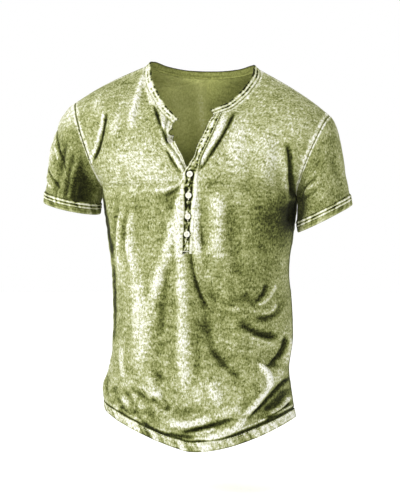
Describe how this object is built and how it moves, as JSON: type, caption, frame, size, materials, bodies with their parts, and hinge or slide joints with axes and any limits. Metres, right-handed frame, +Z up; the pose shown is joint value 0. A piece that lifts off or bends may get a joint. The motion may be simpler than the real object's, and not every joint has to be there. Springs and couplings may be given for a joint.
{
  "type": "henley shirt",
  "caption": "Short-sleeved henley shirt with a banded neck, a placket partly unbuttoned into a V, banded cuffs and a curved hem, filled out as worn and empty inside",
  "frame": {"origin": "midway between the two points where the shoulder seams meet the neckband, at their height: where the wearer's shoulders carry the shirt", "axes": "+X to the wearer's left, -Y to the front, +Z up from the hem to the neck"},
  "size_m": [0.5844, 0.2442, 0.7196],
  "materials": {
    "jersey": "soft cotton jersey, washed unevenly so that ridges and seams are nearly white and hollows dark olive",
    "jersey_band": "doubled cotton jersey with pale twin-needle stitching",
    "button": "cream resin, softly polished"
  },
  "bodies": {
    "root": {"front": "jersey", "back": "jersey", "sleeve_right": "jersey", "sleeve_left": "jersey", "cuff_right": "jersey_band", "cuff_left": "jersey_band", "neckband": "jersey_band", "placket_upper": "jersey_band", "placket_under": "jersey_band", "button_1": "button", "button_2": "button", "button_3": "button", "button_4": "button", "button_5": "button"}
  },
  "joints": []
}
